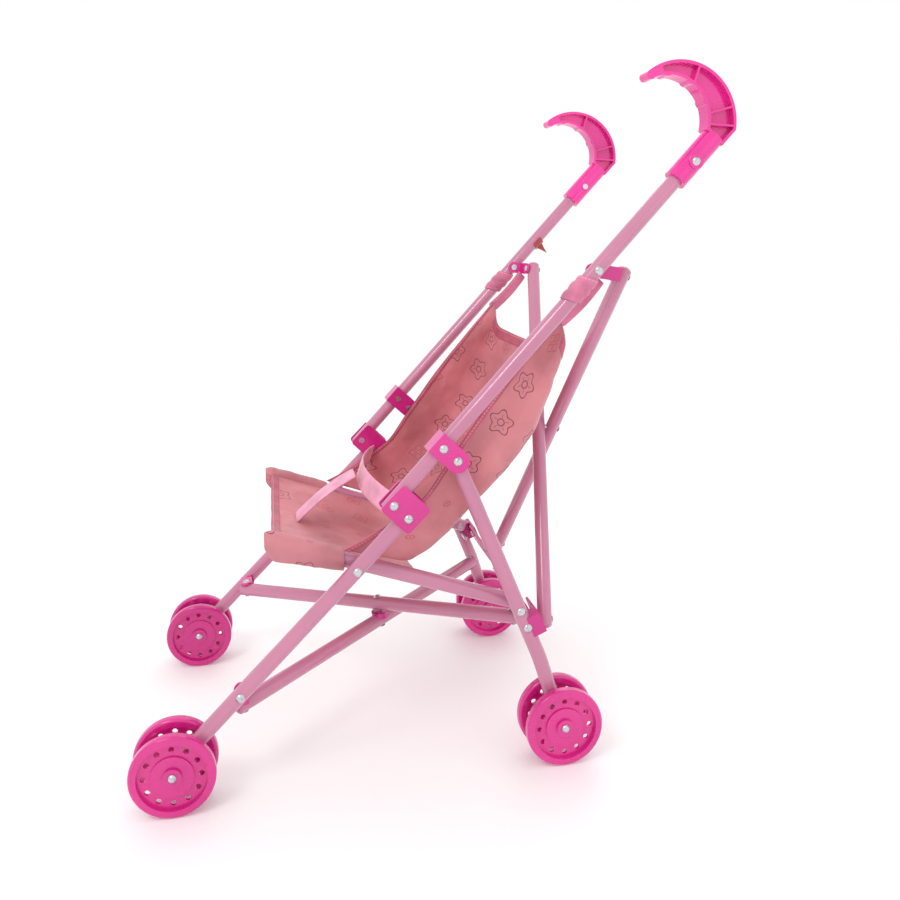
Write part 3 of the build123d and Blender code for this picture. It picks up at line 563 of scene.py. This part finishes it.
sling = grid_mesh("sling_cloth", sling_grid, CLOTH)
hem_back = hem_from_grid("sling_top_hem", sling_grid[:, PANEL:-PANEL], 4, HEM_THICKNESS, TAPE)
left_edge = sling_grid.transpose(1, 0, 2)
hem_left = hem_from_grid("sling_edge_left", left_edge, 3, HEM_THICKNESS, TAPE)
hem_right = hem_from_grid("sling_edge_right", left_edge[::-1], 3, HEM_THICKNESS, TAPE)
thicken(sling, CLOTH_THICKNESS)

sling_pieces = [sling, hem_back, hem_left, hem_right]


# ---- the seat: a sheet between the seat tubes that wraps round each tube's front ----
def seat_rows():
    rows = []
    front, rear = side_point(75.5, 0)[1], side_point(192.0, 0)[1]
    for y in np.linspace(front, rear, 46):
        share = (y - front) / (rear - front)
        z = seat_line(y)
        edge = np.array((SEAT_X - TUBE_R - 0.0004, y, z + 0.0015))
        sag = 0.010 + 0.003 * share
        row = []
        for t in np.linspace(-1, 1, 49):
            x = edge[0] * t
            row.append((x, y, edge[2] - sag * (1 - t * t)))
        rows.append(row)
    return np.array(rows)


seat_grid = seat_rows()
fade = fade_in(seat_grid.shape[1], 6)
seat_grid = wrinkled(seat_grid, 0.0022, 30.0, 9.0, np.outer(np.ones(seat_grid.shape[0]), fade))
seat = grid_mesh("seat_cloth", seat_grid, CLOTH, uv_offset=(0.013, 0.4))
seat_hem = hem_from_grid("seat_front_hem", seat_grid, 3, HEM_THICKNESS, TAPE)
thicken(seat, CLOTH_THICKNESS)


def sleeve(side):
    """Cloth round the seat tube in front of the leg: tight on top, hanging below."""
    rows = []
    front, rear = side_point(70.5, 0)[1], side_point(131.0, 0)[1]
    for k, y in enumerate(np.linspace(front, rear, 34)):
        share = (y - front) / (rear - front)
        z = seat_line(y)
        close = 1 - (1 - min(1.0, k / 5)) ** 2
        radius = 0.0075 * (0.55 + 0.45 * close)
        droop = (0.0085 * (1 - share) + 0.0016) * (0.4 + 0.6 * close)
        row = []
        for a in np.linspace(0, 2 * math.pi, 28, endpoint=False):
            s, c = math.sin(a), math.cos(a)
            drop = droop * max(0.0, -c) ** 3
            squeeze = 1 - 0.45 * max(0.0, -c) ** 2
            row.append((side * SEAT_X + radius * s * squeeze * side, y, z + radius * c - drop))
        rows.append(row)
    grid = np.array(rows)
    grid = wrinkled(grid, 0.0011, 85.0, 5.0 * side, np.ones(grid.shape[:2]))
    name = "seat_sleeve_left" if side > 0 else "seat_sleeve_right"
    return thicken(grid_mesh(name, grid, CLOTH, uv_offset=(0.02, 0.7), closed=True), CLOTH_THICKNESS)


sleeves = {side: sleeve(side) for side in (1, -1)}


# ---- straps from the sling's upper corners to the push tubes ----
def ribbon(name, centre, side_ways, width, thickness, material, levels=1):
    """A flat band along centre; side_ways gives its width direction at each point."""
    centre, side_ways = np.array(centre), np.array(side_ways)
    grid = []
    for s in np.linspace(-0.5, 0.5, 6):
        grid.append(centre + side_ways * width * s)
    return thicken(grid_mesh(name, np.array(grid), material), thickness, levels)


TOP_ALONG = float(np.linalg.norm(TOP - KNEE))


def corner_wrap(side):
    """A creased band round the push tube under its upper bracket, lower at the front."""
    rows = []
    for t in np.linspace(0, 1, 30):
        row = []
        for angle in np.linspace(0, 2 * math.pi, 36, endpoint=False):
            front = 0.5 - 0.5 * math.sin(angle)
            ring = np.array((side * math.cos(angle), 0, 0)) + BEHIND_PUSH * math.sin(angle)
            crease = abs(math.sin(math.pi * (2.6 * t - 0.55 * front)))
            radius = TUBE_R + 0.0008 + 0.0010 * crease * math.sin(math.pi * t) ** 0.5
            along = TOP_ALONG - 0.0050 - 0.0065 * front - 0.0235 * t
            row.append(on_push(along * 1000, 0, side * HALF) + ring * radius)
        rows.append(row)
    grid = np.array(rows)
    name = "corner_wrap_left" if side > 0 else "corner_wrap_right"
    return thicken(grid_mesh(name, grid, STRAP, closed=True), CLOTH_THICKNESS)


def corner_band(side):
    """The strap's run from the sling's corner up towards the upper bracket."""
    high = side_point(338.0, 388.0, side * (PANEL_X + 0.001))
    low = side_point(305.0, 354.0, side * PANEL_X)
    points, ways = [], []
    for t in np.linspace(0, 1, 16):
        p = high * (1 - t) + low * t
        p = p + np.array((0, 0.0012, -0.0012)) * math.sin(math.pi * t)
        points.append(p)
        ways.append(BEHIND_PUSH * 0.95 + np.array((side * 0.15 * (1 - t), 0, 0)))
    name = "corner_band_left" if side > 0 else "corner_band_right"
    return ribbon(name, points, ways, 0.0108, 0.0013, STRAP)


wraps = {side: (corner_wrap(side), corner_band(side)) for side in (1, -1)}


# ---- harness: a lap belt from side to side and a crotch piece down to the seat ----
BELT_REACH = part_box("lap_belt")[1].x * 0.995


def belt():
    points, ways = [], []
    up = np.array((0.0, 0.32, 0.95))
    for t in np.linspace(-1, 1, 40):
        x = BELT_REACH * t
        y = 0.1775 + AXLE_Y - 0.0215 * (1 - t * t)
        z = 0.2085 + 0.004 * (1 - t * t)
        points.append((x, y, z))
        ways.append(up)
    return ribbon("lap_belt_web", points, ways, 0.019, 0.0018, WEB)


def crotch():
    points, ways = [], []
    high = side_point(150.0, 216.0)
    low = side_point(97.0, 178.0)
    for t in np.linspace(0, 1, 18):
        p = high * (1 - t) + low * t
        p = p + np.array((0, 0.0, 0.0035)) * math.sin(math.pi * t)
        points.append(p)
        ways.append(np.array((1.0, 0, 0)))
    return ribbon("crotch_web", points, ways, 0.028, 0.0020, WEB)


lap, crotch_piece = belt(), crotch()


def gather(pieces, body):
    for piece in pieces:
        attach(piece, body)
        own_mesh(piece)


gather(sling_pieces, "push_left")
gather((seat, seat_hem), "seat_left")
gather((lap, crotch_piece), "seat_left")
for side, suffix in ((1, "left"), (-1, "right")):
    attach(sleeves[side], f"seat_{suffix}")
    for piece in wraps[side]:
        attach(piece, f"push_{suffix}")
    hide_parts(f"corner_strap_{suffix}")
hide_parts("back_sling")
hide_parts("seat_sling")
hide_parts("lap_belt")
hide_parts("crotch_strap")


# ---- floor, light and camera ----
FLOOR_RADIUS, FLOOR_SIDES = 3.2, 96
FLOOR_GLOW = 0.06  # brings the far floor up to the white of the background


def floor():
    mesh = bpy.data.meshes.new("floor")
    turns = np.linspace(0, 2 * math.pi, FLOOR_SIDES, endpoint=False)
    rim = [(FLOOR_RADIUS * math.cos(a), FLOOR_RADIUS * math.sin(a), 0.0) for a in turns]
    mesh.from_pydata(rim, [], [tuple(range(FLOOR_SIDES))])
    g = Graph("studio_floor")
    greys = (0.93, 0.93, 0.93, 1), (0.96, 0.96, 0.96, 1)
    g.set("Base Color", g.mix(g.noise(g.position(), 3.0), *greys))
    g.set("Roughness", 0.55)
    g.set("Emission Color", (1.0, 1.0, 1.0, 1.0))
    g.set("Emission Strength", FLOOR_GLOW)
    mesh.materials.append(g.material)
    piece = bpy.data.objects.new("floor", mesh)
    bpy.context.scene.collection.objects.link(piece)


def lamp(name, place, target, size, power, tint=(1.0, 1.0, 1.0)):
    light = bpy.data.lights.new(name, "AREA")
    light.shape = "DISK"
    light.size = size
    light.energy = power
    light.color = tint
    piece = bpy.data.objects.new(name, light)
    piece.location = place
    piece.rotation_euler = (Vector(target) - Vector(place)).to_track_quat("-Z", "Y").to_euler()
    bpy.context.scene.collection.objects.link(piece)


floor()
aim = (0.0, 0.0, 0.25)
lamp("key", (0.9, -0.9, 1.5), aim, 0.6, 6.0)
lamp("fill", (1.3, 0.9, 0.8), aim, 1.2, 1.0)
lamp("back", (-1.2, 0.6, 1.4), aim, 1.2, 3.0)

world = bpy.data.worlds.new("studio")
world.use_nodes = True
surround = world.node_tree.nodes["Background"].inputs
surround["Color"].default_value = (1.0, 1.0, 1.0, 1.0)
surround["Strength"].default_value = 1.0
bpy.context.scene.world = world
bpy.context.scene.view_settings.view_transform = "Standard"

lens = bpy.data.cameras.new("camera")
lens.sensor_width = 36.0
lens.lens = 31.18
lens.shift_x = 0.0377
lens.shift_y = -0.1284
camera = bpy.data.objects.new("camera", lens)
right = Vector((0.18150, 0.98331, -0.01237))
upward = Vector((-0.09593, 0.03022, 0.99493))
forward = Vector((-0.97870, 0.17939, -0.09982))
turn = Matrix((right, upward, -forward)).transposed().to_4x4()
camera.matrix_world = Matrix.Translation(Vector(side_point(82.7, 407.7, 0.6804))) @ turn
bpy.context.scene.collection.objects.link(camera)
bpy.context.scene.camera = camera
